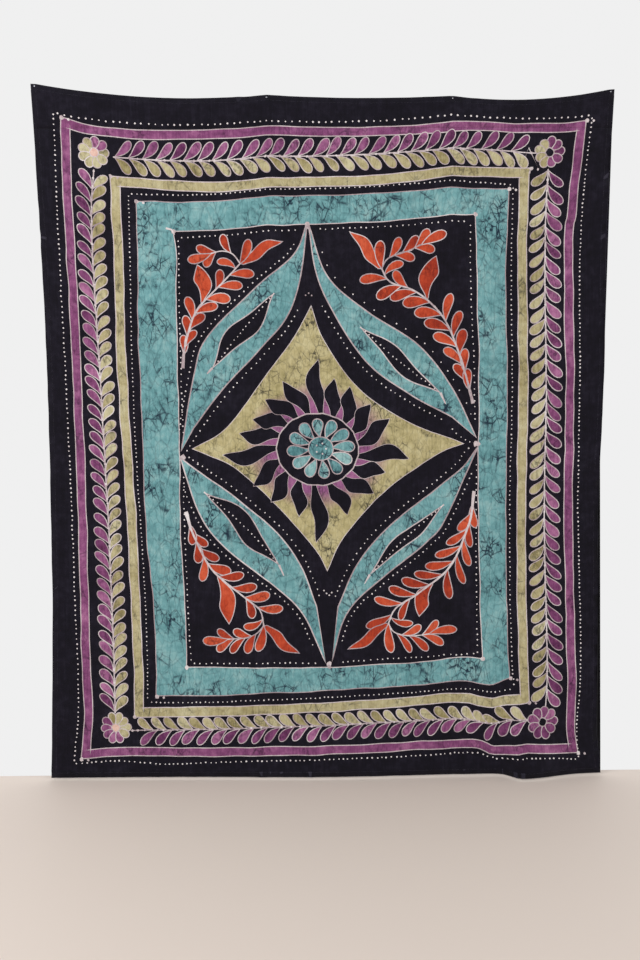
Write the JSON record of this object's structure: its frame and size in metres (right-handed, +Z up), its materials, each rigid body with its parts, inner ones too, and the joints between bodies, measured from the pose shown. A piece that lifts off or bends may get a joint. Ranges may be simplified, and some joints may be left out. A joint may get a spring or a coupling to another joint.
{
  "type": "tapestry wall hanging",
  "caption": "Large hand-drawn batik cotton wall hanging with turned hems, pinned to a wall along its top edge.",
  "frame": {"origin": "on the back of the top hem, midway along the sheet, against the wall", "axes": "+Z up; +Y into the wall; +X to the right of someone who faces the printed side"},
  "size_m": [2.032, 0.1162, 2.4672],
  "materials": {
    "batik_cotton": "wax-resist dyed plain-weave cotton, matt",
    "turned_cotton": "reverse of the dyed cotton, turned twice, matt",
    "sewing_thread": "dark cotton lockstitch",
    "pin_steel": "drawn and cut steel wire, bright"
  },
  "bodies": {
    "hung_edge": {"cloth_header": "batik_cotton", "hem_top": "turned_cotton", "hem_left_top": "turned_cotton", "hem_right_top": "turned_cotton", "thread_top": "sewing_thread", "thread_left_top": "sewing_thread", "thread_right_top": "sewing_thread"},
    "upper_sheet": {"cloth_upper": "batik_cotton", "hem_left_upper": "turned_cotton", "hem_right_upper": "turned_cotton", "thread_left_upper": "sewing_thread", "thread_right_upper": "sewing_thread"},
    "lower_sheet": {"cloth_lower": "batik_cotton", "hem_left_lower": "turned_cotton", "hem_right_lower": "turned_cotton", "hem_bottom": "turned_cotton", "thread_left_lower": "sewing_thread", "thread_right_lower": "sewing_thread", "thread_bottom": "sewing_thread"},
    "left_corner_pin": {"pin_left_corner": "pin_steel"},
    "mid_left_pin": {"pin_mid_left": "pin_steel"},
    "mid_right_pin": {"pin_mid_right": "pin_steel"},
    "right_corner_pin": {"pin_right_corner": "pin_steel"}
  },
  "joints": [
    {"name": "lift_off_wall", "type": "hinge", "parent": "hung_edge", "child": "upper_sheet", "pos_m": [0, -0.0025, -0.02922], "axis": [-1, 0, 0], "range_deg": [0, 90]},
    {"name": "fold_in_half", "type": "hinge", "parent": "upper_sheet", "child": "lower_sheet", "pos_m": [0, -0.0025, -1.205], "axis": [-1, 0, 0], "range_deg": [0, 170]},
    {"name": "left_corner_pull", "type": "slide", "parent": "hung_edge", "child": "left_corner_pin", "axis": [0, -1, 0], "range_m": [0, 0.026]},
    {"name": "mid_left_pull", "type": "slide", "parent": "hung_edge", "child": "mid_left_pin", "axis": [0, -1, 0], "range_m": [0, 0.026]},
    {"name": "mid_right_pull", "type": "slide", "parent": "hung_edge", "child": "mid_right_pin", "axis": [0, -1, 0], "range_m": [0, 0.026]},
    {"name": "right_corner_pull", "type": "slide", "parent": "hung_edge", "child": "right_corner_pin", "axis": [0, -1, 0], "range_m": [0, 0.026]}
  ]
}
